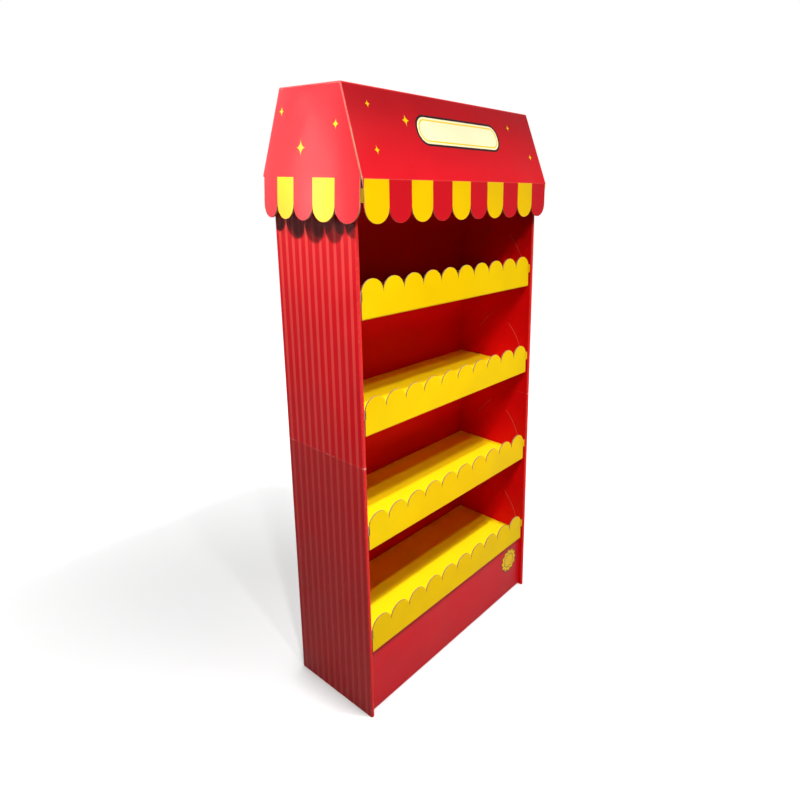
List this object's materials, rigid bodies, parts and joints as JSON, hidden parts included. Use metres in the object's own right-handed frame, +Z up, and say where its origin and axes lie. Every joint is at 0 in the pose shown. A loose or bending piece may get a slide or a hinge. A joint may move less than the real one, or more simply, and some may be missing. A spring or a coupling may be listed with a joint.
{
  "type": "cardboard floor display stand",
  "caption": "Free-standing folded cardboard display stand with scalloped-lip shelf trays, a plinth and an awning-edged roof header.",
  "frame": {"origin": "on the floor, in the middle of the stand's width and depth", "axes": "+X to the right seen from the front, +Y to the back, +Z up; the open shelves face -Y"},
  "size_m": [0.646, 0.3099, 1.361],
  "materials": {
    "red_print": "semi-gloss red print on corrugated board, raw edges",
    "yellow_print": "semi-gloss yellow print on corrugated board, raw edges",
    "plain_card": "plain brown card"
  },
  "bodies": {
    "root": {"lower_carcass": "red_print", "upper_carcass": "red_print", "joint_card_left": "plain_card", "joint_card_right": "plain_card", "plinth": "red_print", "shelf_tray_1": "yellow_print", "shelf_tray_2": "yellow_print", "shelf_tray_3": "yellow_print", "shelf_tray_4": "yellow_print", "header_roof": "red_print", "header_gable_left": "red_print", "header_gable_right": "red_print"}
  },
  "joints": []
}
